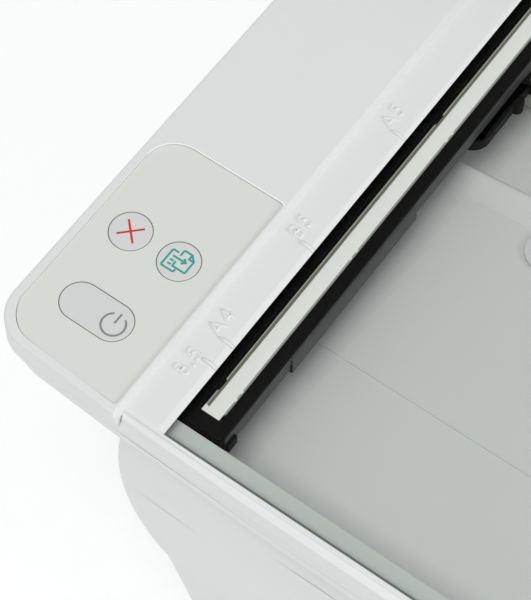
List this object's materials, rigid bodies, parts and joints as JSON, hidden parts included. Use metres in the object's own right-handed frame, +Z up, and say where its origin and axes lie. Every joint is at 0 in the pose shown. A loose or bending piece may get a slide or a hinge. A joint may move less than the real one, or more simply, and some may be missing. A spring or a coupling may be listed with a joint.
{
  "type": "all-in-one inkjet printer",
  "caption": "Desktop inkjet printer with a flatbed scanner on top, its lid open, control keys at the front left, a rear paper input and a front output tray.",
  "frame": {"origin": "on the desk under the middle of the printer's outline", "axes": "+X to the printer's right seen from its front, +Y to its back, +Z up"},
  "size_m": [0.425, 0.302, 0.3891],
  "materials": {
    "shell_white": "fine satin texture",
    "panel_film": "satin film, greenish light grey",
    "key_grey": "satin",
    "black_plastic": "fine texture",
    "dark_plastic": "fine texture",
    "scan_glass": "clear, slightly green",
    "guide_white": "milky",
    "lens_olive": "satin",
    "plated_steel": "drawn",
    "nylon": "satin",
    "roller_rubber": "matte",
    "circuit_board": "solder resist",
    "pad_foam": "white backed foam",
    "print_black": "satin"
  },
  "bodies": {
    "body": {"scanner_bezel": "shell_white", "panel_overlay": "panel_film", "panel_board": "circuit_board", "scanner_glass": "scan_glass", "scanner_tub": "shell_white", "scan_guide_rod": "plated_steel", "scan_rack": "nylon", "hinge_post_left": "shell_white", "hinge_post_right": "shell_white", "lower_housing": "shell_white", "base_pan": "dark_plastic", "foot_front_left": "roller_rubber", "foot_front_right": "roller_rubber", "foot_rear_left": "roller_rubber", "foot_rear_right": "roller_rubber", "output_tray": "dark_plastic", "rear_cover": "shell_white", "paper_deck": "dark_plastic", "side_frame": "plated_steel", "feed_motor": "plated_steel", "platen": "black_plastic", "carriage_rod": "plated_steel", "carriage_rail": "plated_steel", "drive_belt": "roller_rubber", "carriage_motor": "plated_steel", "service_station": "dark_plastic", "main_board": "circuit_board", "data_port": "plated_steel", "power_supply": "black_plastic", "mains_inlet": "black_plastic"},
    "cancel_key": {"cancel_button": "key_grey"},
    "copy_key": {"copy_button": "key_grey"},
    "power_key": {"power_button": "key_grey"},
    "scan_carriage": {"sensor_cradle": "black_plastic", "sensor_housing": "black_plastic", "light_guide": "guide_white", "lens_strip": "lens_olive", "scan_motor": "plated_steel"},
    "scan_pinion": {"scan_pinion": "nylon"},
    "lid": {"lid_cover": "shell_white", "lid_pad": "pad_foam", "hinge_pin_left": "plated_steel", "hinge_pin_right": "plated_steel"},
    "door": {"cartridge_door": "shell_white"},
    "tray_extender": {"tray_extender": "dark_plastic"},
    "paper_stop": {"paper_stop": "dark_plastic"},
    "paper_support": {"paper_support": "shell_white"},
    "paper_guide": {"paper_guide": "dark_plastic"},
    "feed": {"feed_roller": "roller_rubber", "feed_gear": "nylon"},
    "idler": {"idler_gear": "nylon"},
    "exit": {"exit_roller": "roller_rubber", "exit_gear": "nylon"},
    "feed_pinion": {"feed_motor_gear": "nylon"},
    "pick": {"pick_roller": "roller_rubber"},
    "print_carriage": {"print_carriage": "black_plastic", "black_cartridge": "print_black", "colour_cartridge": "dark_plastic"},
    "motor_pulley": {"motor_pulley": "nylon"},
    "idler_pulley": {"idler_pulley": "nylon"}
  },
  "joints": [
    {"name": "cancel_press", "type": "slide", "parent": "body", "child": "cancel_key", "axis": [0, 0, -1], "range_m": [0, 0.0006], "stiffness_N_per_m": 400, "springref_m": -0.0005},
    {"name": "copy_press", "type": "slide", "parent": "body", "child": "copy_key", "axis": [0, 0, -1], "range_m": [0, 0.0006], "stiffness_N_per_m": 400, "springref_m": -0.0005},
    {"name": "power_press", "type": "slide", "parent": "body", "child": "power_key", "axis": [0, 0, -1], "range_m": [0, 0.0006], "stiffness_N_per_m": 400, "springref_m": -0.0005},
    {"name": "scan_travel", "type": "slide", "parent": "body", "child": "scan_carriage", "axis": [1, 0, 0], "range_m": [0, 0.288]},
    {"name": "scan_pinion_spin", "type": "hinge", "parent": "scan_carriage", "child": "scan_pinion", "pos_m": [-0.151, -0.0185, 0.1203], "axis": [0, 1, 0], "range_deg": [0, 2760]},
    {"name": "lid_hinge", "type": "hinge", "parent": "body", "child": "lid", "pos_m": [0, 0.104, 0.143], "axis": [1, 0, 0], "range_deg": [0, 75]},
    {"name": "door_hinge", "type": "hinge", "parent": "body", "child": "door", "pos_m": [0.01, -0.1463, 0.0662], "axis": [1, 0, 0], "range_deg": [0, 85]},
    {"name": "extender_slide", "type": "slide", "parent": "body", "child": "tray_extender", "axis": [0, -1, 0], "range_m": [0, 0.07]},
    {"name": "paper_stop_slide", "type": "slide", "parent": "tray_extender", "child": "paper_stop", "axis": [0, -1, 0], "range_m": [0, 0.03]},
    {"name": "paper_support_slide", "type": "slide", "parent": "body", "child": "paper_support", "axis": [0, 0.2588, 0.9659], "range_m": [0, 0.07]},
    {"name": "paper_guide_slide", "type": "slide", "parent": "body", "child": "paper_guide", "axis": [1, 0, 0], "range_m": [0, 0.1]},
    {"name": "feed_spin", "type": "hinge", "parent": "body", "child": "feed", "pos_m": [0, 0.02, 0.052], "axis": [1, 0, 0], "continuous": true},
    {"name": "idler_spin", "type": "hinge", "parent": "body", "child": "idler", "pos_m": [-0.1375, -0.0154, 0.04546], "axis": [1, 0, 0], "continuous": true},
    {"name": "exit_spin", "type": "hinge", "parent": "body", "child": "exit", "pos_m": [0, -0.0449, 0.04], "axis": [1, 0, 0], "continuous": true},
    {"name": "feed_pinion_spin", "type": "hinge", "parent": "body", "child": "feed_pinion", "pos_m": [-0.1375, 0.03685, 0.03786], "axis": [1, 0, 0], "continuous": true},
    {"name": "pick_spin", "type": "hinge", "parent": "body", "child": "pick", "pos_m": [0, 0.08, 0.0966], "axis": [1, 0, 0], "continuous": true},
    {"name": "carriage_travel", "type": "slide", "parent": "body", "child": "print_carriage", "axis": [-1, 0, 0], "range_m": [0, 0.25]},
    {"name": "motor_pulley_spin", "type": "hinge", "parent": "body", "child": "motor_pulley", "pos_m": [-0.158, 0.0365, 0.09], "axis": [0, 1, 0], "continuous": true},
    {"name": "idler_pulley_spin", "type": "hinge", "parent": "body", "child": "idler_pulley", "pos_m": [0.18, 0.0365, 0.09], "axis": [0, 1, 0], "continuous": true}
  ],
  "couplings": [
    {"joint": "scan_pinion_spin", "follows": "scan_travel", "rad_per_m": 166.67},
    {"joint": "idler_spin", "follows": "feed_spin", "ratio": -0.8},
    {"joint": "exit_spin", "follows": "feed_spin", "ratio": 1.6},
    {"joint": "feed_pinion_spin", "follows": "feed_spin", "ratio": -2.6667},
    {"joint": "motor_pulley_spin", "follows": "carriage_travel", "rad_per_m": 178.57},
    {"joint": "idler_pulley_spin", "follows": "carriage_travel", "rad_per_m": 178.57}
  ]
}
